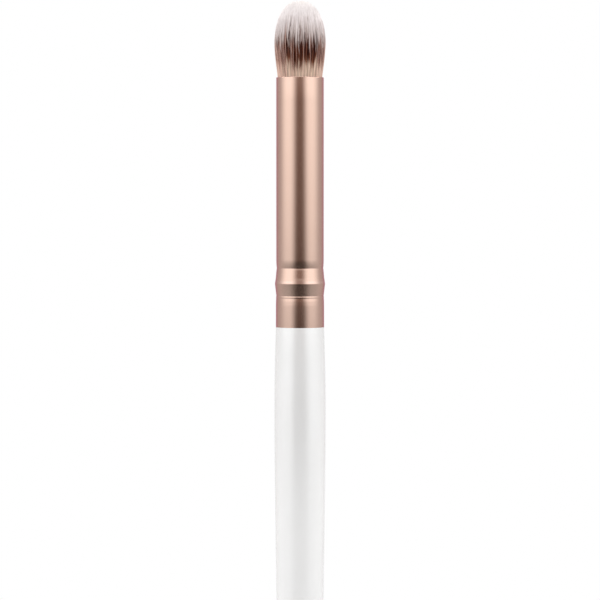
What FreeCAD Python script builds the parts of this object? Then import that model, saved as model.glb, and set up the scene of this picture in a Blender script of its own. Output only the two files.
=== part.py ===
import FreeCAD, Part
import math
import os
import Sketcher

# Eyeshadow brush standing on the end of its handle: +Z runs up the axis to the hair, millimetres, origin at the tip.

SIZES = [
    # ferrule, heights from its foot
    ("tube_od", 8.0, "outer diameter of the ferrule tube"),
    ("tube_wall", 0.25, "wall of the ferrule"),
    ("ferrule_length", 42.0, "foot to mouth"),
    ("skirt_flare", 0.07, "how far the skirt's foot stands out past the tube, on the radius"),
    ("skirt_draw", 0.055, "how far the skirt narrows up to the bead, on the radius"),
    ("bead_rise", 0.23, "how far the bead stands out past the tube, on the radius"),
    ("neck_draw", 0.05, "how far the tube narrows down to the bead, on the radius"),
    ("skirt_length", 5.4, "foot of the ferrule to the foot of the bead"),
    ("bead_lower", 1.95, "length of the slope under the bead's ridge"),
    ("bead_upper", 2.4, "length of the slope over the bead's ridge"),
    ("neck_length", 2.2, "length over which the tube narrows to the bead"),
    ("bead_round", 0.3, "radius of the bead's ridge"),
    ("mouth_round", 0.1, "radius of the mouth's two edges"),
    # handle, lengths along the axis
    ("handle_step", 0.01, "how far the handle's top stands out past the skirt, on the radius"),
    ("belly_rise", 0.26, "how far the belly stands out past the handle's top, on the radius"),
    ("swell_length", 13.9, "ferrule foot to belly"),
    ("ease_length", 12.0, "belly to the start of the straight taper"),
    ("taper_length", 88.2, "length of the straight taper"),
    ("taper_fall", 1.148, "loss of radius along the straight taper"),
    ("lacquer_coat", 0.2, "thickness of the lacquer"),
    # tenon and its glue
    ("glue_film", 0.1, "film between tenon and neck"),
    ("tenon_reach", 2.25, "how far the tenon goes in past the neck"),
    ("tenon_bevel", 0.5, "bevel of the tenon's end"),
    ("ring_count", 5, "key rings turned in the tenon"),
    ("ring_depth", 0.25, "depth of a key ring"),
    ("ring_width", 0.8, "width of a key ring at the tenon's surface"),
    ("ring_margin", 2.0, "first and last key ring to the tenon's ends"),
    # hair, heights from the mouth and depths below it
    ("tuft_length", 12.95, "mouth to the top of the dome"),
    ("tuft_bulge", 0.62, "how far the hair swells past the bore, on the radius"),
    ("belly_height", 5.7, "mouth to the widest place of the tuft"),
    ("flex_limit", 30, "tilt of the free hair to each side, degrees"),
    ("flex_margin", 2.5, "tilt left over before the free hair meets the mouth, degrees"),
    ("parting_turn", 3, "polar angle between the edges of the held and the free hair, degrees"),
    ("tie_depth", 9.0, "mouth to the top of the tie"),
    ("tie_width", 2.0, "height of the tie"),
    ("tie_thickness", 0.4, "thickness of the tie"),
    ("tie_play", 0.05, "play between the tie and the bore"),
    ("squeeze_length", 1.5, "length over which the hair narrows to the tie"),
    ("root_length", 2.2, "hair below the tie, set in resin"),
    ("resin_floor", 2.5, "resin below the ends of the hair"),
    ("resin_hollow", 0.4, "depth of the hollow in the resin's underside"),
]

doc = FreeCAD.newDocument("EyeshadowBrush")
sheet = doc.addObject("Spreadsheet::Sheet", "Sizes")
for row, (alias, number, meaning) in enumerate(SIZES, start=1):
    sheet.set(f"A{row}", alias)
    sheet.set(f"B{row}", str(number))
    sheet.set(f"C{row}", meaning)
    sheet.setAlias(f"B{row}", alias)
doc.recompute()

# Derived radii and heights, as expressions on the sheet
TUBE = "(Sizes.tube_od / 2)"
BORE = f"({TUBE} - Sizes.tube_wall)"
SKIRT = f"({TUBE} + Sizes.skirt_flare)"
SKIRT_HEAD = f"({SKIRT} - Sizes.skirt_draw)"
BEAD = f"({TUBE} + Sizes.bead_rise)"
NECK = f"({TUBE} - Sizes.neck_draw)"

SLANT = "sqrt(Sizes.taper_fall ^ 2 + Sizes.taper_length ^ 2)"
LEAN = f"(Sizes.taper_fall / {SLANT})"
HANDLE_TOP = f"({SKIRT} + Sizes.handle_step)"
BELLY = f"({HANDLE_TOP} + Sizes.belly_rise)"
EASE_END = f"({BELLY} - Sizes.ease_length * ({SLANT} - Sizes.taper_length) / Sizes.taper_fall)"
TAPER_END = f"({EASE_END} - Sizes.taper_fall)"
TENON = f"({NECK} - Sizes.tube_wall - Sizes.glue_film)"


def tip_drop(inset):
    """How far the round tip reaches below the taper's end, for a handle that much smaller all round."""
    return f"(({TAPER_END} - {inset}) * {SLANT} / Sizes.taper_length * (1 - {LEAN}))"


TAPER_Z = tip_drop("0")
EASE_Z = f"({TAPER_Z} + Sizes.taper_length)"
BELLY_Z = f"({EASE_Z} + Sizes.ease_length)"
FOOT_Z = f"({BELLY_Z} + Sizes.swell_length)"
BEAD_FOOT_Z = f"({FOOT_Z} + Sizes.skirt_length)"
RIDGE_Z = f"({BEAD_FOOT_Z} + Sizes.bead_lower)"
BEAD_HEAD_Z = f"({RIDGE_Z} + Sizes.bead_upper)"
NECK_Z = f"({BEAD_HEAD_Z} + Sizes.neck_length)"
TENON_Z = f"({NECK_Z} + Sizes.tenon_reach)"
SHANK_Z = f"({TENON_Z} - Sizes.tenon_bevel)"
MOUTH_Z = f"({FOOT_Z} + Sizes.ferrule_length)"

TUFT = f"({BORE} + Sizes.tuft_bulge)"
TUFT_BELLY_Z = f"({MOUTH_Z} + Sizes.belly_height)"
FLANK = "((Sizes.belly_height ^ 2 + Sizes.tuft_bulge ^ 2) / (2 * Sizes.tuft_bulge))"
TIED = f"({BORE} - Sizes.tie_play - Sizes.tie_thickness)"
TIE_TOP_Z = f"({MOUTH_Z} - Sizes.tie_depth)"
TIE_FOOT_Z = f"({TIE_TOP_Z} - Sizes.tie_width)"
ROOT_Z = f"({TIE_FOOT_Z} - Sizes.root_length)"
RESIN_Z = f"({ROOT_Z} - Sizes.resin_floor)"
FREE_EDGE = "(90 - Sizes.flex_limit - Sizes.flex_margin)"
HELD_EDGE = f"({FREE_EDGE} + Sizes.parting_turn)"


def flank_reach(polar):
    """Distance from the middle of the mouth to the tuft's side, at a polar angle from the axis."""
    along = f"(sin({polar}) * ({TUFT} - {FLANK}) + cos({polar}) * Sizes.belly_height)"
    apart = f"(({TUFT} - {FLANK}) ^ 2 + Sizes.belly_height ^ 2)"
    return f"({along} + sqrt({along} ^ 2 + {FLANK} ^ 2 - {apart}))"


HELD_BALL = flank_reach(HELD_EDGE)
FREE_BALL = flank_reach(FREE_EDGE)


def value(expression):
    return float(sheet.evalExpression(expression))


def plane(body, role):
    return next(item for item in body.Origin.OriginFeatures if item.Role == role)


def pin_point(sketch, name, item, end, radius, height):
    """Holds one point of a sketch at a radius and a height, each given as an expression."""
    if radius == "0":
        sketch.addConstraint(Sketcher.Constraint("PointOnObject", item, end, -2))
    else:
        found = sketch.addConstraint(Sketcher.Constraint("DistanceX", -1, 1, item, end, value(radius)))
        sketch.renameConstraint(found, f"{name}_radius")
        sketch.setExpression(f"Constraints.{name}_radius", radius)
    if height == "0":
        sketch.addConstraint(Sketcher.Constraint("PointOnObject", item, end, -1))
    else:
        found = sketch.addConstraint(Sketcher.Constraint("DistanceY", -1, 1, item, end, value(height)))
        sketch.renameConstraint(found, f"{name}_height")
        sketch.setExpression(f"Constraints.{name}_height", height)


def arc_centre(start, finish, middle):
    """Middle of the arc through two points: on the axis, or at a height given as an expression."""
    half = (start + finish) / 2
    side = finish - start
    if middle == "axis":
        return FreeCAD.Vector(0, half.y + half.x * side.x / side.y, 0)
    height = value(middle)
    return FreeCAD.Vector(half.x - (height - half.y) * side.y / side.x, height, 0)


def outline(body, name, corners):
    """Closed sketch in the body's XZ plane.

    A corner is a radius, a height and how the outline goes on from it: "line", "axis" for an arc about a point
    of the axis, or the height of an arc's middle.
    """
    sketch = body.newObject("Sketcher::SketchObject", name)
    sketch.AttachmentSupport = (plane(body, "XZ_Plane"), [""])
    sketch.MapMode = "FlatFace"
    spots = [FreeCAD.Vector(value(radius), value(height), 0) for radius, height, _ in corners]
    ends = []
    for spot, after, (_, _, course) in zip(spots, spots[1:] + spots[:1], corners):
        if course == "line":
            item = sketch.addGeometry(Part.LineSegment(spot, after), False)
            ends.append((item, 1, 2))
            continue
        centre = arc_centre(spot, after, course)
        first, last = spot - centre, after - centre
        forward = first.cross(last).z > 0
        if not forward:
            first, last = last, first
        circle = Part.Circle(centre, FreeCAD.Vector(0, 0, 1), first.Length)
        begin = math.atan2(first.y, first.x)
        sweep = first.getAngle(last)
        item = sketch.addGeometry(Part.ArcOfCircle(circle, begin, begin + sweep), False)
        ends.append((item, 1, 2) if forward else (item, 2, 1))
        if course == "axis":
            sketch.addConstraint(Sketcher.Constraint("PointOnObject", item, 3, -2))
        else:
            found = sketch.addConstraint(Sketcher.Constraint("DistanceY", -1, 1, item, 3, centre.y))
            sketch.renameConstraint(found, f"middle{item}_height")
            sketch.setExpression(f"Constraints.middle{item}_height", course)
    for index, (radius, height, _) in enumerate(corners):
        item, start, _ = ends[index]
        before, _, finish = ends[index - 1]
        sketch.addConstraint(Sketcher.Constraint("Coincident", before, finish, item, start))
        pin_point(sketch, f"corner{index}", item, start, radius, height)
    return sketch


def turned(body, name, corners):
    """Solid of revolution about the axis, from an outline."""
    sketch = outline(body, f"{name}Outline", corners)
    turn = body.newObject("PartDesign::Revolution", name)
    turn.Profile = sketch
    turn.ReferenceAxis = (sketch, ["V_Axis"])
    turn.Angle = 360
    sketch.Visibility = False
    doc.recompute()
    return turn


def new_body(label):
    body = doc.addObject("PartDesign::Body", label)
    body.Label = label
    return body


def rounded(body, name, base, circles, size):
    """Rounds the round edges of a solid that lie at the given radii and heights."""
    edges = []
    for index, edge in enumerate(base.Shape.Edges, start=1):
        if not isinstance(edge.Curve, Part.Circle) or not edge.isClosed():
            continue
        for radius, height in circles:
            near = abs(edge.Curve.Radius - value(radius)) + abs(edge.Curve.Center.z - value(height))
            if near < 1e-4:
                edges.append(f"Edge{index}")
    if len(edges) != len(circles):
        raise RuntimeError(f"{name}: {len(edges)} edges found for {len(circles)} circles")
    fillet = body.newObject("PartDesign::Fillet", name)
    fillet.Base = (base, edges)
    fillet.setExpression("Radius", size)
    doc.recompute()
    return fillet


def handle_side(inset):
    """Corners of the handle's side from tip to top, for a handle that much smaller all round."""
    return [
        ("0", "0" if inset == "0" else f"({TAPER_Z} - {tip_drop(inset)})", "axis"),
        (f"({TAPER_END} - {inset})", TAPER_Z, "line"),
        (f"({EASE_END} - {inset})", EASE_Z, BELLY_Z),
        (f"({BELLY} - {inset})", BELLY_Z, BELLY_Z),
        (f"({HANDLE_TOP} - {inset})", FOOT_Z, "line"),
    ]


def turned_back(corners):
    """The same open run of corners, taken from its far end."""
    courses = ["line"] + [course for _, _, course in corners[:-1]]
    back = [(radius, height, course) for (radius, height, _), course in zip(corners, courses)]
    return back[::-1]


# Handle wood: turned core with a ringed tenon
COAT = "Sizes.lacquer_coat"
wood = new_body("handle_wood")
core = turned(wood, "Core", handle_side(COAT) + [
    (TENON, FOOT_Z, "line"),
    (TENON, SHANK_Z, "line"),
    (f"({TENON} - Sizes.tenon_bevel)", TENON_Z, "line"),
    ("0", TENON_Z, "line"),
])
FIRST_RING_Z = f"({FOOT_Z} + Sizes.ring_margin)"
ring_sketch = outline(wood, "RingOutline", [
    (f"({TENON} - Sizes.ring_depth)", FIRST_RING_Z, "line"),
    (f"({TENON} + Sizes.ring_depth)", f"({FIRST_RING_Z} - Sizes.ring_width)", "line"),
    (f"({TENON} + Sizes.ring_depth)", f"({FIRST_RING_Z} + Sizes.ring_width)", "line"),
])
ring = wood.newObject("PartDesign::Groove", "Ring")
ring.Profile = ring_sketch
ring.ReferenceAxis = (ring_sketch, ["V_Axis"])
ring.Angle = 360
ring_sketch.Visibility = False
doc.recompute()
rings = wood.newObject("PartDesign::LinearPattern", "Rings")
rings.Originals = [ring]
rings.Direction = (plane(wood, "Z_Axis"), [""])
rings.setExpression("Length", f"{TENON_Z} - {FOOT_Z} - 2 * Sizes.ring_margin")
rings.setExpression("Occurrences", "Sizes.ring_count")
wood.Tip = rings
doc.recompute()
cut_by_one = core.Shape.Volume - ring.Shape.Volume
cut_by_all = core.Shape.Volume - rings.Shape.Volume
if cut_by_one <= 0 or abs(cut_by_all / cut_by_one - value("Sizes.ring_count")) > 0.01:
    raise RuntimeError("the key rings are not all cut")

# Handle lacquer: shell over the wood, closed at the tip
lacquer = new_body("handle_lacquer")
turned(lacquer, "Coat", handle_side("0") + turned_back(handle_side(COAT)))

# Ferrule: one drawn tube with its bead rolled in, the same wall all along
ferrule = new_body("ferrule")
tube_outside = [
    (SKIRT, FOOT_Z, FOOT_Z),
    (SKIRT_HEAD, BEAD_FOOT_Z, "line"),
    (BEAD, RIDGE_Z, "line"),
    (NECK, BEAD_HEAD_Z, NECK_Z),
    (TUBE, NECK_Z, "line"),
    (TUBE, MOUTH_Z, "line"),
]
tube_inside = [(f"({radius} - Sizes.tube_wall)", height, course) for radius, height, course in tube_outside]
drawn = turned(ferrule, "Tube", tube_outside + turned_back(tube_inside))
ridge = rounded(ferrule, "Ridge", drawn, [(BEAD, RIDGE_Z)], "Sizes.bead_round")
rounded(ferrule, "Mouth", ridge, [(TUBE, MOUTH_Z), (BORE, MOUTH_Z)], "Sizes.mouth_round")

# Handle glue: fills the ferrule's inside round the tenon
glue_room = new_body("glue_room")
turned(glue_room, "Room", [("0", FOOT_Z, "line")] + tube_inside[:-1] + [
    (BORE, SHANK_Z, "line"),
    ("0", SHANK_Z, "line"),
])
glue = doc.addObject("Part::Cut", "handle_glue")
glue.Base = glue_room
glue.Tool = wood
glue.Label = "handle_glue"
doc.recompute()

# Hair held by the ferrule: root, squeezed neck at the tie, and a domed top about the middle of the mouth
held = new_body("hair_held")
turned(held, "Held", [
    ("0", ROOT_Z, "line"),
    (TIED, ROOT_Z, "line"),
    (TIED, TIE_TOP_Z, "line"),
    (BORE, f"({TIE_TOP_Z} + Sizes.squeeze_length)", "line"),
    (BORE, MOUTH_Z, TUFT_BELLY_Z),
    (f"({HELD_BALL} * sin({HELD_EDGE}))", f"({MOUTH_Z} + {HELD_BALL} * cos({HELD_EDGE}))", "axis"),
    ("0", f"({MOUTH_Z} + {HELD_BALL})", "line"),
])

# Free hair: swelling side, ellipsoid dome, and a cupped underside about the middle of the mouth
free = new_body("hair_free")
turned(free, "Side", [
    ("0", MOUTH_Z, "line"),
    (BORE, MOUTH_Z, TUFT_BELLY_Z),
    (TUFT, TUFT_BELLY_Z, "line"),
    ("0", TUFT_BELLY_Z, "line"),
])
dome = free.newObject("PartDesign::AdditiveEllipsoid", "Dome")
dome.AttachmentSupport = (plane(free, "XY_Plane"), [""])
dome.MapMode = "FlatFace"
dome.Angle1 = 0
dome.setExpression("Radius1", "Sizes.tuft_length - Sizes.belly_height")
dome.setExpression("Radius2", TUFT)
dome.setExpression("Radius3", TUFT)
dome.setExpression("AttachmentOffset.Base.z", TUFT_BELLY_Z)
doc.recompute()
cup = free.newObject("PartDesign::SubtractiveSphere", "Cup")
cup.AttachmentSupport = (plane(free, "XY_Plane"), [""])
cup.MapMode = "FlatFace"
cup.setExpression("Radius", FREE_BALL)
cup.setExpression("AttachmentOffset.Base.z", MOUTH_Z)
doc.recompute()

# Root tie: flat band round the hair
tie = new_body("root_tie")
TIE_OUTSIDE = f"({BORE} - Sizes.tie_play)"
turned(tie, "Band", [
    (TIED, TIE_FOOT_Z, "line"),
    (TIE_OUTSIDE, TIE_FOOT_Z, "line"),
    (TIE_OUTSIDE, TIE_TOP_Z, "line"),
    (TIED, TIE_TOP_Z, "line"),
])

# Root resin: cup round the ends of the hair, with a hollowed underside
resin = new_body("root_resin")
turned(resin, "Plug", [
    ("0", f"({RESIN_Z} + Sizes.resin_hollow)", "axis"),
    (BORE, RESIN_Z, "line"),
    (BORE, TIE_FOOT_Z, "line"),
    (TIED, TIE_FOOT_Z, "line"),
    (TIED, ROOT_Z, "line"),
    ("0", ROOT_Z, "line"),
])

doc.recompute()
for item in doc.Objects:
    if "Invalid" in item.State or "Error" in item.State:
        raise RuntimeError(f"{item.Name} did not build: {item.State}")

nodes = [wood, lacquer, glue, ferrule, held, free, tie, resin]
for node in nodes:
    if node.Shape.isNull() or not node.Shape.isValid() or len(node.Shape.Solids) != 1:
        raise RuntimeError(f"{node.Label} is not one valid solid")

os.makedirs("parts", exist_ok=True)
for node in nodes:
    node.Shape.exportStep(f"parts/{node.Label}.step")
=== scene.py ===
import math

import bpy
import numpy as np
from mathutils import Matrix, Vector


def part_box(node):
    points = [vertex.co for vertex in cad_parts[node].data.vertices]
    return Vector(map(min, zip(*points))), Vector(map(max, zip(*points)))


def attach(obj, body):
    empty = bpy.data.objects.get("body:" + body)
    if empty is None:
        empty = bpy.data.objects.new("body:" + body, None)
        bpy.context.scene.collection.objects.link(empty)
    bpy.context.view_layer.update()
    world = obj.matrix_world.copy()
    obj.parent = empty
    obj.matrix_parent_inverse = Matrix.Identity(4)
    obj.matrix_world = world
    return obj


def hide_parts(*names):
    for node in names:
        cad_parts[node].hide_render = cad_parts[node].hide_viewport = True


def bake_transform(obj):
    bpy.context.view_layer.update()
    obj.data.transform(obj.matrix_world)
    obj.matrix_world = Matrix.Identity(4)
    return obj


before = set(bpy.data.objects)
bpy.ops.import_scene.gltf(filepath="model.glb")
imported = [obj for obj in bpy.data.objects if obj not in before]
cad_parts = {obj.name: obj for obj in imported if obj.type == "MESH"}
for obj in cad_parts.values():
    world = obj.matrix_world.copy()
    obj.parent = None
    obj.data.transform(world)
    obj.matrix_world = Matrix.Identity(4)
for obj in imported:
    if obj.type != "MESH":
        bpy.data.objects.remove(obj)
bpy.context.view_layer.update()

MM = 0.001
TINY = 1e-6
SEED = 20

# Heights along the brush, in millimetres from the handle's tip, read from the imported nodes
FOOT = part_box("ferrule")[0].z / MM
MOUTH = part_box("ferrule")[1].z / MM
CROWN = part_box("hair_free")[1].z / MM

# Handle, in millimetres
TIP_RADIUS = 3.1137
TAPER_TOP = 91.274
TAPER_RADIUS = 4.262
BELLY = 103.274
BELLY_RADIUS = 4.34
COAT_TOP_RADIUS = 4.08
COAT = 0.2
COAT_STEPS = 20
PEARL_START = BELLY - 22
PEARL_FULL = BELLY + 2
# Height on the handle at which the painted shade near its top is full
PAINTED_SHADE_FULL = BELLY + 11

# Ferrule, in millimetres
SKIRT_FOOT_RADIUS = 4.07
SKIRT_TOP = FOOT + 5.4
CREASE_RADIUS = 3.992
RIDGE = SKIRT_TOP + 1.95
RIDGE_RADIUS = 4.23
RIDGE_ROUND = 0.3
NECK = RIDGE + 2.62
NECK_RADIUS = 3.92
TUBE_START = NECK + 1.45
TUBE_RADIUS = 4.0
WALL = 0.25
MOUTH_ROUND = 0.06
MOUTH_STEPS = 6

# Shape of the tuft: lengths in millimetres, heights from the ferrule's mouth, powers of its curves
BORE = TUBE_RADIUS - WALL
ROOT_DEPTH = 1.6
BELLY_HEIGHT = 5.7
HAIR_RADIUS = 4.37
TUFT_LENGTH = CROWN - MOUTH
SPREAD_LENGTH = 8.3
SPREAD_POWER = 1.4
DOME_POWER = 2.22
CROWN_POWER = 2.32
TIP_HALVINGS = 30

# Strands: lengths in millimetres, and how far out they stand from 0 on the axis to 1 at the outside
STRANDS = 6600
HAIR_PIECES = 12
STRAND_SIDES = 3
STRAND_RINGS = 13
RING_CROWDING = 1.25
STRAND_WIDTH = 0.14
WIDTH_RANGE = (0.8, 1.2)
TIP_WIDTH = 0.4
TIP_TAPER = 2.5
OUTER_SHARE = 0.5
OUTER_FROM = 0.84
OUTERMOST_FROM = 0.985
GATHERED = 0.966
GATHER_RANGE = 0.012
TIP_SCATTER = 0.07
TIP_RAGGED = (-0.6, 0.35)
DRIFT = 0.06
SPIN = 0.3
WAVE_REACH = 0.07
WAVE_RATE = (0.6, 1.4)
WAVE_PHASE = 6.3
WAVE_START = 0.5
WAVE_FULL = 4
TUFT_SHADING = 0.55

# Pale strands: fine strands at the very outside, most of them towards the tuft's two sides, where their
# pale colour is a painted sheen
PALE_STRANDS = 0.012
PALE_LEAST = 0.35
PALE_SIDES = 2.6
PALE_EDGE = 0.75
PALE_FROM = 0.99
PALE_GATHERED = 0.988
PALE_WIDTH = 0.35
PAINTED_SHEEN_PALENESS = (0.7, 1.0)

# Clumps of strands: their sizes in millimetres round the tuft and across it, and what they do to the tone
CLUMP_WAVES = 24
CLUMP_LENGTH = (0.4, 0.9)
FOOT_CLUMP_LENGTH = (0.5, 3.0)
CLUMP_DEPTH = (3, 8)
MIDDLE_TONE = 0.5
CLUMP_TONE = 0.4
STRAND_TONE = 0.3

# Brown band of the dye, in millimetres above the mouth, and the share of strands on which it runs long
BAND_START = 2.5
BAND_END = 5.85
SIDE_START_DROP = 0.5
SIDE_END_DROP = 1.1
START_CLUMPS = 0.4
END_CLUMPS = 0.55
BAND_SCATTER = 0.35
BAND_TAIL = 0.4
LONG_STREAKS = 0.14
STREAK_DOWN = 1.1
STREAK_UP = 1.6
START_LOWEST = 0.2
START_HIGHEST = 4.2
BAND_SHORTEST = 0.8
END_HIGHEST = 9.5
BEIGE_FADE = 0.7
BROWN_FADE = 0.6
GREY_FADE = 0.7
WHITE_AFTER = 1.5

# Places along the dye, from 0 at the root to 1 at the tip
DYE_BEIGE = 0.18
DYE_BROWN = 0.33
DYE_BROWN_END = 0.44
DYE_GREY = 0.56

# Strips that the strands get on the bake's map, as shares of a strip
STRIP_SHAPE = 16
STRIP_SIDE_GAP = 0.1
STRIP_END_GAP = 0.03

# Turned meshes: corners round the axis, and the turn in degrees from which an edge is sharp
ROUND = 192
SHARP_TURN = 35

# Camera at the photograph's angle, in metres: level with the tube's lower part, looking slightly down
CAMERA_PLACE = (0.0, -0.524, 0.1385)
CAMERA_AIM = (0.0, 0.0, 0.12175)
CAMERA_SENSOR = 36.0
CAMERA_LENS = 186.7

# Floor and light tent, in millimetres
FLOOR_RADIUS = 340.0
FLOOR_MIDDLE = 60.0
FLOOR_FADE = 200.0
FLOOR_FADED = FLOOR_RADIUS - 10
TENT_RADIUS = 1600.0
TENT_LOW = -700.0
TENT_HIGH = 900.0
EYE_HEIGHT = 130.0

# Brightness of the floor, the tent and the sky, where 1 is white
FLOOR_GREY = 0.56
CARD_TOP = (0.26, 0.175, 0.145, 1)
CARD_FOOT = (0.04, 0.03, 0.025, 1)
CARD_DARKENING = 1.35
SIDE_TOP = 1.48
SIDE_MIDDLE = 0.84
SIDE_FOOT = 0.42
FLANKS = (0.58, 0.56, 0.56, 1)
BACK = 0.85
CEILING = 1.2
SKY = 0.89

# Angles up the tent between which it changes, in degrees above the level of the ferrule
CARD_DARKENS = (-3.5, 2)
CARD_WIDENS = (-0.8, 1.4)
SIDES_DIM = (-1.6, 1.6)
SIDES_FALL = (-12.5, 0.5)
EDGE_SOFTENS = (-14, -7)
CEILING_STARTS = (14, 24)

# Angles round the tent, in degrees from the camera
CARD_EDGE = 7
SIDE_EDGE = 43
EDGE_WIDER = 9
CARD_SOFTER = 11
SIDE_SOFTER = 16
FLANKS_START = (63, 113)
BACK_STARTS = (140, 165)
LEAN = 1.3
LOW_LEAN = 3
DEEP_LEAN = 2

# Lamps: name, place in metres, size in metres, power in watts
LAMPS = (
    ("front_lamp_left", (-0.75, -0.6, 1.25), 0.5, 1.8),
    ("front_lamp_right", (0.75, -0.6, 1.25), 0.5, 1.8),
    ("side_lamp_left", (-1.15, 0.25, 0.8), 0.5, 4.2),
    ("side_lamp_right", (1.15, 0.25, 0.8), 0.5, 4.2),
    ("top_lamp", (0.0, -0.1, 1.6), 0.8, 7.5),
)
LAMP_AIM = (0, 0, 0.13)


class Wire:
    """A socket on its way through nodes. Between numbers, Python's own signs add the Math nodes."""

    def __init__(self, nodes, socket):
        self.nodes = nodes
        self.socket = socket

    def maths(self, operation, first, second):
        return self.nodes.node("Math", {"operation": operation}, {0: first, 1: second})

    def __add__(self, other):
        return self.maths("ADD", self, other)

    def __radd__(self, other):
        return self.maths("ADD", other, self)

    def __sub__(self, other):
        return self.maths("SUBTRACT", self, other)

    def __rsub__(self, other):
        return self.maths("SUBTRACT", other, self)

    def __mul__(self, other):
        return self.maths("MULTIPLY", self, other)

    def __rmul__(self, other):
        return self.maths("MULTIPLY", other, self)


class Nodes:
    """The node tree of a finish or of the world, built one node at a time."""

    def __init__(self, owner):
        owner.use_nodes = True
        self.tree = owner.node_tree
        self.tree.nodes.clear()

    def node(self, kind, settings=None, inputs=None, output=0):
        """Adds a node of that type, sets it up, fills its sockets and gives the output asked for."""
        made = self.tree.nodes.new("ShaderNode" + kind)
        for name, value in (settings or {}).items():
            if name == "stops":
                self.set_stops(made.color_ramp, value)
            else:
                setattr(made, name, value)
        for name, value in (inputs or {}).items():
            if isinstance(value, Wire):
                self.tree.links.new(value.socket, made.inputs[name])
            else:
                made.inputs[name].default_value = value
        return Wire(self, made.outputs[output]) if len(made.outputs) else None

    def set_stops(self, ramp, stops):
        while len(ramp.elements) < len(stops):
            ramp.elements.new(0.5)
        for element, (place, colour) in zip(ramp.elements, stops):
            element.position = place
            element.color = colour

    def place(self):
        """Where on the piece, in millimetres."""
        point = self.node("TexCoord", output="Object")
        return self.stretched(point, (1 / MM, 1 / MM, 1 / MM))

    def stretched(self, vector, factors):
        return self.node("VectorMath", {"operation": "MULTIPLY"}, {0: vector, 1: factors})

    def part(self, vector, axis):
        return self.node("SeparateXYZ", None, {0: vector}, axis)

    def noise(self, vector, scale=1.0, detail=2.0, roughness=0.5):
        return self.node("TexNoise", None, {
            "Vector": vector, "Scale": scale, "Detail": detail, "Roughness": roughness})

    def eased(self, value, low, high, start=0.0, end=1.0):
        """Goes smoothly from start to end while value goes from low to high."""
        return self.node("MapRange", {"interpolation_type": "SMOOTHSTEP"}, {
            "Value": value, "From Min": low, "From Max": high, "To Min": start, "To Max": end})

    def mix(self, share, first, second):
        return self.node("Mix", {"data_type": "RGBA"}, {0: share, 6: first, 7: second}, 2)

    def bump(self, height, strength, depth):
        return self.node("Bump", None, {"Strength": strength, "Distance": depth, "Height": height})

    def attribute(self, name):
        return self.node("Attribute", {"attribute_name": name}, None, "Fac")

    def surface(self, shader, output="OutputMaterial"):
        self.node(output, None, {"Surface": shader})

    def principled(self, sockets):
        self.surface(self.node("BsdfPrincipled", None, sockets))


def tint(red, green, blue):
    """A screen colour, 0 to 255, as the linear colour that nodes take."""
    levels = [value / 255 for value in (red, green, blue)]
    linear = [v / 12.92 if v <= 0.04045 else ((v + 0.055) / 1.055) ** 2.4 for v in levels]
    return (*linear, 1.0)


def grey(level):
    return (level, level, level, 1.0)


def finish_of(name):
    material = bpy.data.materials.new(name)
    return material, Nodes(material)


def rose_gold():
    """Satin rose gold on drawn tube: faint lines along it, soft clouds, and a smoother band on the bead's
    ridge whose lighter colour is a painted highlight.
    """
    material, nodes = finish_of("rose_gold")
    place = nodes.place()
    height = nodes.part(place, 2)
    lines = nodes.noise(nodes.stretched(place, (9, 9, 0.05)), detail=3.0)
    clouds = nodes.noise(place, scale=0.35, detail=3.0)
    over_ridge = nodes.eased(height, RIDGE - 0.05, RIDGE + 0.2)
    under_brow = nodes.eased(height, RIDGE + 0.3, RIDGE + 0.7, start=1, end=0)
    # A band over the bead's ridge: smoother as polish, and lighter in colour as a painted highlight
    ridge_polish_and_highlight = over_ridge * under_brow
    colour = nodes.mix(clouds, tint(220, 188, 172), tint(224, 193, 177))
    nodes.principled({
        # Base colour lightened on the ridge band: painted highlight
        "Base Color": nodes.mix(ridge_polish_and_highlight * 0.3, colour, tint(240, 212, 202)),
        "Metallic": 1.0,
        "Roughness": 0.17 + lines * 0.05 + clouds * 0.03 - ridge_polish_and_highlight * 0.03,
        "Specular Tint": (0.72, 0.42, 0.54, 1.0),
        "Normal": nodes.bump(lines, strength=0.06, depth=0.00002),
    })
    return material


def pearl_lacquer():
    """White lacquer under a clear gloss coat. Its mica shows most at the belly; near the top its colour
    greys as painted shade.
    """
    material, nodes = finish_of("pearl_lacquer")
    place = nodes.place()
    height = nodes.part(place, 2)
    mica = nodes.node("TexVoronoi", None, {"Vector": place, "Scale": 11.0}, "Color")
    flake = nodes.part(mica, 0)
    clouds = nodes.noise(place, scale=0.25, detail=3.0)
    belly = nodes.eased(height, PEARL_START, PEARL_FULL)
    # Share of painted shade, rising towards the handle's top by the ferrule
    top = nodes.eased(height, PEARL_FULL, PAINTED_SHADE_FULL)
    colour = nodes.mix(flake * 0.5 + clouds * 0.4, tint(243, 242, 241), tint(250, 250, 250))
    nodes.principled({
        # The colour greys towards the top: painted shade, not the lacquer's own colour
        "Base Color": nodes.mix(0.06 + top * 0.44, colour, tint(231, 231, 230)),
        "Metallic": 0.05 + belly * 0.14 - top * 0.05 + flake * 0.02,
        "Roughness": 0.16 + flake * 0.05 + clouds * 0.03,
        "Coat Weight": 1.0,
        "Coat Roughness": 0.03,
        "Normal": nodes.bump(flake, strength=0.03, depth=0.00002),
    })
    return material


HAIR_STOPS = (
    (0.00, tint(252, 228, 210)),
    (DYE_BEIGE, tint(245, 219, 198)),
    (0.30, tint(114, 54, 24)),
    (0.36, tint(74, 14, 3)),
    (DYE_BROWN_END, tint(84, 24, 10)),
    (DYE_GREY, tint(214, 201, 198)),
    (0.70, tint(238, 229, 228)),
    (0.82, tint(252, 246, 246)),
    (1.00, tint(255, 251, 250)),
)


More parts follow.
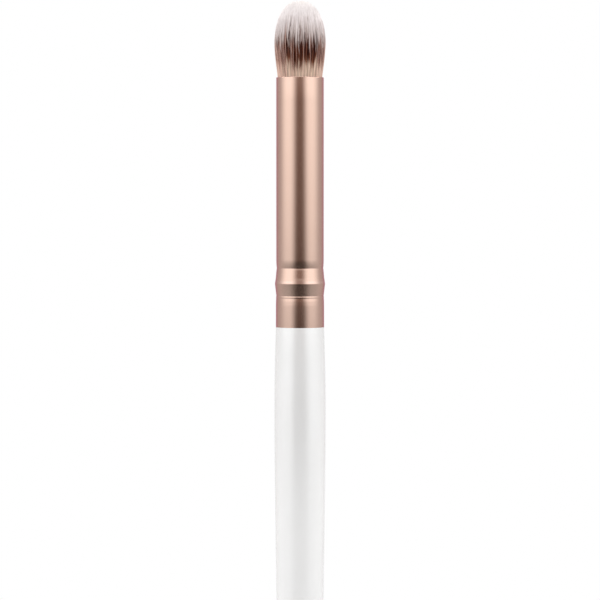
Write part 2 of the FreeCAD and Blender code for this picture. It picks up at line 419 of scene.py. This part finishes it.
def tuft_hair():
    """Synthetic filament dyed in bands: beige at the root, a ragged brown band, then grey to white tips."""
    material, nodes = finish_of("tuft_hair")
    place = nodes.place()
    along = nodes.attribute("dye")
    dye = nodes.node("ValToRGB", {"stops": HAIR_STOPS}, {"Fac": along}, "Color")
    streaks = nodes.noise(nodes.stretched(place, (3.2, 3.2, 0.4)))
    dashes = nodes.eased(streaks, 0.36, 0.64)
    tone = nodes.attribute("strand_tone") * 0.75 + dashes * 0.25
    from_root = nodes.eased(along, 0.1, 0.3, start=0.55, end=1)
    to_tip = nodes.eased(along, DYE_BROWN_END, 0.66, start=1, end=0.25)
    depth = from_root * to_tip
    darker = nodes.stretched(dye, (0.24, 0.15, 0.12))
    lighter = nodes.mix(depth * 0.14, dye, tint(226, 166, 134))
    colour = nodes.mix((1 - tone) * depth, lighter, darker)
    # Pale strands are mixed towards a pale pink up to the brown band's top: a painted sheen, most of it on
    # the tuft's two sides
    undyed = nodes.attribute("undyed") * nodes.eased(along, 0.42, 0.58, start=1, end=0)
    grain = nodes.noise(nodes.stretched(place, (20, 20, 2)))
    nodes.principled({
        "Base Color": nodes.mix(undyed, colour, tint(232, 190, 176)),
        "Roughness": 0.36 + grain * 0.12,
        "Specular IOR Level": 0.05,
        "Normal": nodes.bump(grain, strength=0.1, depth=0.00001),
    })
    return material


def turned_wood():
    """Pale hardwood under the lacquer, its grain along the handle."""
    material, nodes = finish_of("turned_wood")
    place = nodes.place()
    grain = nodes.noise(nodes.stretched(place, (2.2, 2.2, 0.06)), detail=5.0, roughness=0.6)
    pores = nodes.noise(nodes.stretched(place, (14, 14, 0.5)))
    colour = nodes.mix(grain, tint(176, 132, 84), tint(222, 188, 140))
    nodes.principled({
        "Base Color": nodes.mix(nodes.eased(pores, 0.62, 0.75) * 0.5, colour, tint(120, 84, 52)),
        "Roughness": 0.55 + grain * 0.2,
        "Normal": nodes.bump(grain + pores * 0.5, strength=0.3, depth=0.0001),
    })
    return material


def cured(name, deep, pale, roughness):
    """Glue or resin that has set, with soft clouds and a few bubbles."""
    material, nodes = finish_of(name)
    place = nodes.place()
    clouds = nodes.noise(place, scale=0.8, detail=4.0)
    bubbles = nodes.node("TexVoronoi", None, {"Vector": place, "Scale": 2.5}, "Distance")
    bubble = nodes.eased(bubbles, 0.08, 0.16, start=1, end=0)
    colour = nodes.mix(clouds, deep, pale)
    nodes.principled({
        "Base Color": nodes.mix(bubble * 0.4, colour, tint(245, 238, 215)),
        "Roughness": roughness + clouds * 0.15,
        "Normal": nodes.bump(clouds - bubble * 0.5, strength=0.2, depth=0.0001),
    })
    return material


def woven_band():
    """The tie round the roots, a plain weave of off-white thread."""
    material, nodes = finish_of("woven_band")
    place = nodes.place()
    across = nodes.node("TexWave", {"bands_direction": "Z"}, {"Vector": place, "Scale": 1.6})
    along = nodes.node("TexWave", {"bands_direction": "DIAGONAL"}, {"Vector": place, "Scale": 1.2})
    weave = across * along
    fuzz = nodes.noise(place, scale=9.0)
    nodes.principled({
        "Base Color": nodes.mix(weave * 0.7 + fuzz * 0.3, tint(176, 170, 158), tint(226, 222, 212)),
        "Roughness": 0.7 + fuzz * 0.2,
        "Normal": nodes.bump(weave, strength=0.6, depth=0.0001),
    })
    return material


def add_mesh(name, points, faces, material):
    """A smooth-shaded object from points in millimetres."""
    mesh = bpy.data.meshes.new(name)
    mesh.from_pydata((np.asarray(points) * MM).tolist(), [], faces)
    mesh.polygons.foreach_set("use_smooth", [True] * len(mesh.polygons))
    mesh.materials.append(material)
    made = bpy.data.objects.new(name, mesh)
    bpy.context.scene.collection.objects.link(made)
    return made


def turned(name, outline, material, closed=True):
    """Turns (radius, height) points about the brush's axis. A point on the axis stays one point."""
    angles = np.arange(ROUND) * 2 * math.pi / ROUND
    points = []
    rings = []
    for radius, height in outline:
        first = len(points)
        if radius < TINY:
            points.append((0.0, 0.0, height))
            rings.append([first] * ROUND)
        else:
            points.extend((radius * math.cos(a), radius * math.sin(a), height) for a in angles)
            rings.append(list(range(first, first + ROUND)))
    pairs = list(zip(rings, rings[1:]))
    if closed and outline[0][0] > TINY:
        pairs.append((rings[-1], rings[0]))
    faces = []
    for low, high in pairs:
        for i in range(ROUND):
            j = (i + 1) % ROUND
            corners = [low[i], low[j], high[j], high[i]]
            faces.append(list(dict.fromkeys(corners)))
    made = add_mesh(name, points, [face for face in faces if len(face) > 2], material)
    made.data.set_sharp_from_angle(angle=math.radians(SHARP_TURN))
    return made


def line(start, end, steps):
    """Points from start to just before end."""
    return [tuple(np.add(start, np.subtract(end, start) * i / steps)) for i in range(steps)]


def upright_arc(start, end, upright, steps):
    """An arc from start to just before end that runs upright at the height of one of them."""
    level, other = (start, end) if upright == "start" else (end, start)
    rise = other[1] - level[1]
    draw = other[0] - level[0]
    radius = (rise * rise + draw * draw) / (2 * abs(draw))
    side = math.copysign(1.0, draw)
    found = []
    for i in range(steps):
        height = start[1] + (end[1] - start[1]) * i / steps
        reach = radius - math.sqrt(radius * radius - (height - level[1]) ** 2)
        found.append((level[0] + side * reach, height))
    return found


def rounded(before, corner, after, radius, steps):
    """The points of a corner rounded to that radius."""
    a = (Vector(before) - Vector(corner)).normalized()
    b = (Vector(after) - Vector(corner)).normalized()
    half = a.angle(b) / 2
    back = radius / math.tan(half)
    centre = Vector(corner) + (a + b).normalized() * (radius / math.sin(half))
    start = Vector(corner) + a * back - centre
    end = Vector(corner) + b * back - centre
    turn = start.angle(end)
    found = []
    for i in range(steps + 1):
        share = i / steps
        spoke = (start * math.sin((1 - share) * turn) + end * math.sin(share * turn)) / math.sin(turn)
        found.append(tuple(centre + spoke))
    return found


def coat_outline(inset):
    """The handle's side from tip to top, for a handle that much smaller all round."""
    slope = math.atan((TAPER_RADIUS - TIP_RADIUS) / (TAPER_TOP - TIP_RADIUS))
    rim = (TIP_RADIUS - inset, TIP_RADIUS * (1 - math.sin(slope)) / math.cos(slope))
    taper = (TAPER_RADIUS - inset, TAPER_TOP)
    belly = (BELLY_RADIUS - inset, BELLY)
    top = (COAT_TOP_RADIUS - inset, FOOT)
    ball = rim[0] / math.cos(slope)
    centre = rim[1] + ball * math.sin(slope)
    found = []
    for i in range(COAT_STEPS):
        angle = (math.pi / 2 - slope) * i / COAT_STEPS
        found.append((ball * math.sin(angle), centre - ball * math.cos(angle)))
    found += line(rim, taper, COAT_STEPS)
    found += upright_arc(taper, belly, "end", COAT_STEPS)
    found += upright_arc(belly, top, "start", COAT_STEPS)
    found.append(top)
    return found


def lacquer_coat():
    return turned("lacquer_coat", coat_outline(0) + coat_outline(COAT)[::-1], pearl_lacquer())


def tube_outline():
    """The ferrule's outside from foot to mouth, with the fine rolled lines at the bead's foot and head."""
    foot = (SKIRT_FOOT_RADIUS, FOOT)
    skirt = (4.062, SKIRT_TOP - 1.7)
    head = (4.046, SKIRT_TOP - 0.95)
    dip = (4.021, SKIRT_TOP - 0.48)
    roll = (4.03, SKIRT_TOP - 0.3)
    crease = (CREASE_RADIUS, SKIRT_TOP - 0.12)
    ridge = (RIDGE_RADIUS, RIDGE)
    brow = (4.085, RIDGE + 0.95)
    waist = (3.965, RIDGE + 2.3)
    cove = (NECK_RADIUS, NECK - 0.05)
    neck = (NECK_RADIUS + 0.003, NECK + 0.04)
    tube = (TUBE_RADIUS, TUBE_START)
    # Each bend with the radius it is rounded to and the steps of its rounding
    bends = (
        (skirt, 20.0, 3),
        (head, 8.0, 3),
        (dip, 0.3, 3),
        (roll, 0.2, 3),
        (crease, 0.1, 4),
        (ridge, RIDGE_ROUND, 6),
        (brow, 4.0, 3),
        (waist, 0.8, 3),
        (cove, 0.15, 3),
    )
    stops = [foot] + [bend[0] for bend in bends] + [neck]
    found = upright_arc(foot, skirt, "start", 10)
    for before, (corner, radius, steps), after in zip(stops, bends, stops[2:]):
        found += rounded(before, corner, after, radius, steps)
    found += upright_arc(neck, tube, "end", 12)
    found += line(tube, (TUBE_RADIUS, MOUTH - MOUTH_ROUND), 8)
    return found


def ferrule_tube():
    outside = tube_outline()
    inside = [(radius - WALL, height) for radius, height in outside]
    outer_lip = (TUBE_RADIUS, MOUTH)
    inner_lip = (BORE, MOUTH)
    lip = rounded((TUBE_RADIUS, FOOT), outer_lip, inner_lip, MOUTH_ROUND, MOUTH_STEPS)
    lip += rounded(outer_lip, inner_lip, (BORE, FOOT), MOUTH_ROUND, MOUTH_STEPS)
    return turned("ferrule_tube", outside + lip + inside[::-1], rose_gold())


def hair_radius(height):
    """How far out the outermost strands would stand, at heights above the mouth."""
    below = 1 - np.clip(height, 0, BELLY_HEIGHT) / BELLY_HEIGHT
    rising = HAIR_RADIUS - (HAIR_RADIUS - BORE) * below ** SPREAD_POWER
    above = np.clip(height - BELLY_HEIGHT, 0, None)
    return rising * np.sqrt(np.clip(1 - (above / SPREAD_LENGTH) ** 2, 0, None))


def dome_radius(height):
    """The outside of the tuft above its belly, where the strands end."""
    share = np.clip((height - BELLY_HEIGHT) / (TUFT_LENGTH - BELLY_HEIGHT), 0, 1)
    return HAIR_RADIUS * (1 - share ** DOME_POWER) ** (1 / CROWN_POWER)


def tip_heights(share):
    """Where each strand reaches the dome, found by halving."""
    low = np.full_like(share, BELLY_HEIGHT)
    high = np.full_like(share, TUFT_LENGTH)
    for _ in range(TIP_HALVINGS):
        middle = (low + high) / 2
        inside = share * hair_radius(middle) < dome_radius(middle)
        low = np.where(inside, middle, low)
        high = np.where(inside, high, middle)
    return low


def smooth(value, low, high):
    share = np.clip((value - low) / (high - low), 0, 1)
    return share * share * (3 - 2 * share)


def clump_noise(rng, angle, across, lengths):
    """A random value for each strand that its near neighbours round the tuft share."""
    total = np.zeros_like(angle)
    for _ in range(CLUMP_WAVES):
        length = rng.uniform(*lengths)
        depth = rng.uniform(*CLUMP_DEPTH)
        phase = rng.uniform(0, 2 * math.pi)
        total += np.sin(2 * math.pi * (angle * BORE / length + across / depth) + phase)
    return total / math.sqrt(CLUMP_WAVES / 2)


def long_streaks(rng, reach):
    """How much further the brown goes on a few strands, and nothing on the rest."""
    return rng.exponential(reach, STRANDS) * (rng.uniform(0, 1, STRANDS) < LONG_STREAKS)


def dye_along(rng, height, clump, foot_clump, sideways):
    """How far each ring is along the dye. The brown band is ragged, and lower at the tuft's two sides."""
    start = BAND_START - SIDE_START_DROP * sideways ** 2 + START_CLUMPS * foot_clump
    start += rng.normal(0, BAND_SCATTER, STRANDS)
    start -= long_streaks(rng, STREAK_DOWN)
    end = BAND_END - SIDE_END_DROP * sideways ** 2 - END_CLUMPS * clump
    end += rng.normal(0, BAND_SCATTER, STRANDS) + rng.exponential(BAND_TAIL, STRANDS)
    end += long_streaks(rng, STREAK_UP)
    start = np.clip(start, START_LOWEST, START_HIGHEST)[:, None]
    end = np.clip(end, start[:, 0] + BAND_SHORTEST, END_HIGHEST)[:, None]
    stops = [
        (-ROOT_DEPTH, 0.0),
        (start - BEIGE_FADE, DYE_BEIGE),
        (start + BROWN_FADE, DYE_BROWN),
        (end - BROWN_FADE, DYE_BROWN_END),
        (end + GREY_FADE, DYE_GREY),
        (np.maximum(end + WHITE_AFTER, TUFT_LENGTH), 1.0),
    ]
    dye = np.zeros_like(height)
    for (low, first), (high, second) in zip(stops, stops[1:]):
        dye = np.where(height >= low, first + (second - first) * (height - low) / (high - low), dye)
    return np.clip(dye, 0, 1)


def comb_hair(rng):
    """Every strand of the tuft: its ring centres, widths and dye, as arrays of strands by rings."""
    angle = rng.uniform(0, 2 * math.pi, STRANDS)
    sideways = np.cos(angle) ** 2
    share = np.sqrt(rng.uniform(0, 1, STRANDS))
    outer = rng.uniform(0, 1, STRANDS) < OUTER_SHARE
    share = np.where(outer, rng.uniform(OUTER_FROM, 1.0, STRANDS), share)
    # Pale strands crowd on the tuft's two sides, so their paleness there is a painted sheen
    crowd = PALE_LEAST + PALE_SIDES * sideways * (1 - PALE_EDGE * sideways ** 3)
    pale_strand = rng.uniform(0, 1, STRANDS) < PALE_STRANDS * crowd
    share = np.where(pale_strand, rng.uniform(PALE_FROM, 1.0, STRANDS), share)
    tip = tip_heights(share) - np.abs(rng.normal(0, TIP_SCATTER, STRANDS))
    tip = np.where(share > OUTERMOST_FROM, tip + rng.uniform(*TIP_RAGGED, STRANDS), tip)
    along = 1 - (1 - np.linspace(0, 1, STRAND_RINGS)) ** RING_CROWDING
    height = -ROOT_DEPTH + along[None, :] * (tip + ROOT_DEPTH)[:, None]
    gather = np.where(pale_strand, PALE_GATHERED, GATHERED) - GATHER_RANGE * rng.uniform(0, 1, STRANDS)
    out = (share * gather)[:, None] * hair_radius(height)
    drift = rng.normal(0, DRIFT, STRANDS)[:, None] * smooth(height, 0, TUFT_LENGTH)
    reach = rng.uniform(0, WAVE_REACH, STRANDS)[:, None]
    rate = rng.uniform(*WAVE_RATE, STRANDS)[:, None]
    phase = rng.uniform(0, WAVE_PHASE, STRANDS)[:, None]
    wave = reach * np.sin(height * rate + phase) * smooth(height, WAVE_START, WAVE_FULL)
    bearing = angle[:, None] + drift
    x = out * np.cos(bearing) - wave * np.sin(bearing)
    y = out * np.sin(bearing) + wave * np.cos(bearing)
    left = tip[:, None] - height
    girth = STRAND_WIDTH * rng.uniform(*WIDTH_RANGE, STRANDS) * np.where(pale_strand, PALE_WIDTH, 1)
    width = girth[:, None] * (TIP_WIDTH + (1 - TIP_WIDTH) * smooth(left, 0, TIP_TAPER))
    across = share * BORE
    clump = clump_noise(rng, angle, across, CLUMP_LENGTH)
    foot_clump = clump_noise(rng, angle, across, FOOT_CLUMP_LENGTH)
    dye = dye_along(rng, height, clump, foot_clump, sideways)
    tone = MIDDLE_TONE + CLUMP_TONE * clump + STRAND_TONE * rng.normal(0, 1, STRANDS)
    # How pale each pale strand is painted, as painted sheen; none on the other strands
    undyed = pale_strand * rng.uniform(*PAINTED_SHEEN_PALENESS, STRANDS)
    return angle, {
        "centres": np.stack([x, y, height + MOUTH], axis=2),
        "width": width,
        "dye": dye,
        "tone": np.clip(tone, 0, 1),
        "undyed": undyed,
        "spin": angle + rng.normal(0, SPIN, STRANDS),
    }


def hair_piece(name, strands, material):
    """One sheaf of strands as slim closed prisms that come to a point."""
    centres = strands["centres"]
    count = len(centres)
    corner = strands["spin"][:, None] + np.arange(STRAND_SIDES)[None, :] * 2 * math.pi / STRAND_SIDES
    offset = np.stack([np.cos(corner), np.sin(corner), np.zeros_like(corner)], axis=2)
    half = strands["width"][:, :-1] / 2
    rings = centres[:, :-1, None, :] + offset[:, None, :, :] * half[:, :, None, None]
    levels = STRAND_RINGS - 1
    block = levels * STRAND_SIDES + 1
    points = np.concatenate([rings.reshape(count, -1, 3), centres[:, -1:, :]], axis=1).reshape(-1, 3)
    pattern = [list(range(STRAND_SIDES))[::-1]]
    for level in range(levels - 1):
        low = level * STRAND_SIDES
        for i in range(STRAND_SIDES):
            j = (i + 1) % STRAND_SIDES
            pattern.append([low + i, low + j, low + STRAND_SIDES + j, low + STRAND_SIDES + i])
    last = (levels - 1) * STRAND_SIDES
    for i in range(STRAND_SIDES):
        pattern.append([last + i, last + (i + 1) % STRAND_SIDES, block - 1])
    faces = [[strand * block + v for v in face] for strand in range(count) for face in pattern]
    made = add_mesh(name, points, faces, material)
    dye = strands["dye"]
    along = np.concatenate([np.repeat(dye[:, :-1], STRAND_SIDES, axis=1), dye[:, -1:]], axis=1)
    set_attribute(made, "dye", along.ravel())
    set_attribute(made, "strand_tone", np.repeat(strands["tone"], block))
    set_attribute(made, "undyed", np.repeat(strands["undyed"], block))
    map_strands(made, count, block, levels)
    own = np.broadcast_to(offset[:, None, :, :], rings.shape).reshape(count, -1, 3)
    own = np.concatenate([own, np.tile((0.0, 0.0, 1.0), (count, 1, 1))], axis=1).reshape(-1, 3)
    shade_with_tuft(made, points, own)
    return made


def unit(vectors):
    return vectors / np.maximum(np.linalg.norm(vectors, axis=1, keepdims=True), TINY)


def shade_with_tuft(made, points, own):
    """Turns each strand's shading towards the way the whole tuft faces there."""
    above = np.clip(points[:, 2] - MOUTH - BELLY_HEIGHT, 0, None)
    rise = above / (TUFT_LENGTH - BELLY_HEIGHT) ** 2
    out = unit(np.stack([points[:, 0] / HAIR_RADIUS ** 2, points[:, 1] / HAIR_RADIUS ** 2, rise], axis=1))
    facing = unit(own * (1 - TUFT_SHADING) + out * TUFT_SHADING)
    made.data.normals_split_custom_set_from_vertices(facing.tolist())


def set_attribute(made, name, values):
    layer = made.data.attributes.new(name, "FLOAT", "POINT")
    layer.data.foreach_set("value", np.asarray(values, np.float32))


def map_strands(made, count, block, levels):
    """Gives each strand a strip of its own on the bake's map, root to tip."""
    columns = math.ceil(math.sqrt(count * STRIP_SHAPE))
    rows = math.ceil(count / columns)
    corners = np.zeros(len(made.data.loops), np.int32)
    made.data.loops.foreach_get("vertex_index", corners)
    strand, place = np.divmod(corners, block)
    level = np.where(place == block - 1, levels, place // STRAND_SIDES)
    side = np.where(place == block - 1, 1, place % STRAND_SIDES)
    across = STRIP_SIDE_GAP + (1 - 2 * STRIP_SIDE_GAP) * side / (STRAND_SIDES - 1)
    along = STRIP_END_GAP + (1 - 2 * STRIP_END_GAP) * level / levels
    u = (strand % columns + across) / columns
    v = (strand // columns + along) / rows
    layer = made.data.uv_layers.new(name="OFBake")
    layer.data.foreach_set("uv", np.stack([u, v], axis=1).ravel().astype(np.float32))


def hair_tuft():
    angle, strands = comb_hair(np.random.default_rng(SEED))
    sheaf = np.floor(angle / (2 * math.pi) * HAIR_PIECES).astype(int)
    material = tuft_hair()
    pieces = []
    for number in range(HAIR_PIECES):
        own = {name: values[sheaf == number] for name, values in strands.items()}
        pieces.append(hair_piece("hair_sheaf_%02d" % (number + 1), own, material))
    return pieces


# The pieces that show, which take the places of CAD nodes
coat = lacquer_coat()
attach(coat, "brush")
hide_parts("handle_lacquer")

tube = ferrule_tube()
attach(tube, "brush")
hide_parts("ferrule")

for sheaf in hair_tuft():
    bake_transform(sheaf)
    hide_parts("hair_held", "hair_free")

# The pieces inside, which keep their CAD shapes
INSIDE = {
    "handle_wood": turned_wood(),
    "handle_glue": cured("cured_glue", tint(206, 186, 140), tint(232, 218, 178), 0.45),
    "root_tie": woven_band(),
    "root_resin": cured("amber_resin", tint(176, 128, 58), tint(214, 172, 96), 0.2),
}
for node, material in INSIDE.items():
    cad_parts[node].data.materials.clear()
    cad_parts[node].data.materials.append(material)


def place_and_aim(name, data, place, aim):
    """Puts a camera or a lamp at a place, facing a point."""
    made = bpy.data.objects.new(name, data)
    bpy.context.scene.collection.objects.link(made)
    made.location = place
    made.rotation_euler = (Vector(aim) - Vector(place)).to_track_quat("-Z", "Y").to_euler()
    return made


def add_camera():
    lens = bpy.data.cameras.new("camera")
    lens.sensor_width = CAMERA_SENSOR
    lens.lens = CAMERA_LENS
    bpy.context.scene.camera = place_and_aim("camera", lens, CAMERA_PLACE, CAMERA_AIM)


def add_floor():
    """A pale round table top that fades out into the white before its edge."""
    material, nodes = finish_of("pale_floor")
    away = nodes.node("VectorMath", {"operation": "LENGTH"}, {0: nodes.place()}, "Value")
    kept = nodes.eased(away, FLOOR_FADE, FLOOR_FADED, start=1, end=0)
    paint = nodes.node("BsdfDiffuse", None, {"Color": grey(FLOOR_GREY)})
    clear = nodes.node("BsdfTransparent")
    nodes.surface(nodes.node("MixShader", None, {0: kept, 1: clear, 2: paint}))
    top = turned("floor", [(0.0, 0.0), (FLOOR_MIDDLE, 0.0), (FLOOR_RADIUS, 0.0)], material)


def at_angle(degrees):
    """The height on the tent that stands so many degrees above the level of the ferrule."""
    return EYE_HEIGHT + TENT_RADIUS * math.tan(math.radians(degrees))


def tent_light(nodes):
    """The tent's brightness: a dark card in front, a bright side each way from it, grey flanks and back."""
    place = nodes.place()
    height = nodes.part(place, 2)

    def below(low, high):
        """1 under the first angle, 0 over the second."""
        return nodes.eased(height, at_angle(low), at_angle(high), start=1, end=0)

    low = below(*CARD_DARKENS)
    wide = below(*CARD_WIDENS)
    dim = below(*SIDES_DIM)
    fall = below(*SIDES_FALL)
    deep = below(*EDGE_SOFTENS)
    towards_camera = nodes.part(place, 1) * -1.0
    turn = nodes.node("Math", {"operation": "ARCTAN2"}, {0: nodes.part(place, 0), 1: towards_camera})
    lean = LEAN - low * LOW_LEAN + deep * DEEP_LEAN
    degrees = nodes.node("Math", {"operation": "ABSOLUTE"}, {0: turn * (180 / math.pi) + lean})
    card = nodes.mix(low * CARD_DARKENING, CARD_TOP, CARD_FOOT)
    side = nodes.mix(dim, grey(SIDE_TOP), grey(SIDE_MIDDLE))
    side = nodes.mix(fall, side, grey(SIDE_FOOT))
    card_edge = CARD_EDGE + wide * EDGE_WIDER - deep * CARD_SOFTER
    side_edge = SIDE_EDGE + wide * EDGE_WIDER + deep * SIDE_SOFTER
    light = nodes.mix(nodes.eased(degrees, card_edge, side_edge), card, side)
    light = nodes.mix(nodes.eased(degrees, *FLANKS_START), light, FLANKS)
    light = nodes.mix(nodes.eased(degrees, *BACK_STARTS), light, grey(BACK))
    return nodes.mix(1 - below(*CEILING_STARTS), light, grey(CEILING))


def add_tent():
    """A tall round screen about the set that is seen only where it is mirrored."""
    material, nodes = finish_of("light_tent")
    nodes.surface(nodes.node("Emission", None, {"Color": tent_light(nodes), "Strength": 1.0}))
    wall = turned("light_tent", [(TENT_RADIUS, TENT_LOW), (TENT_RADIUS, TENT_HIGH)], material, closed=False)
    wall.visible_camera = False
    wall.visible_diffuse = False
    wall.visible_shadow = False


def add_world():
    """White behind everything that is seen or mirrored, and a soft sky for the rest."""
    world = bpy.data.worlds.new("white_studio")
    nodes = Nodes(world)
    camera = nodes.node("LightPath", output="Is Camera Ray")
    glossy = nodes.node("LightPath", output="Is Glossy Ray")
    through = nodes.node("LightPath", output="Is Transmission Ray")
    seen = camera + glossy + through
    strength = seen + (1 - seen) * SKY
    nodes.surface(nodes.node("Background", None, {"Color": grey(1.0), "Strength": strength}), "OutputWorld")
    bpy.context.scene.world = world


def add_lamp(name, place, size, power):
    lamp = bpy.data.lights.new(name, "AREA")
    lamp.shape = "DISK"
    lamp.size = size
    lamp.energy = power
    place_and_aim(name, lamp, place, LAMP_AIM).visible_camera = False


add_camera()
add_floor()
add_tent()
add_world()
for lamp_settings in LAMPS:
    add_lamp(*lamp_settings)
bpy.context.scene.view_settings.view_transform = "Standard"
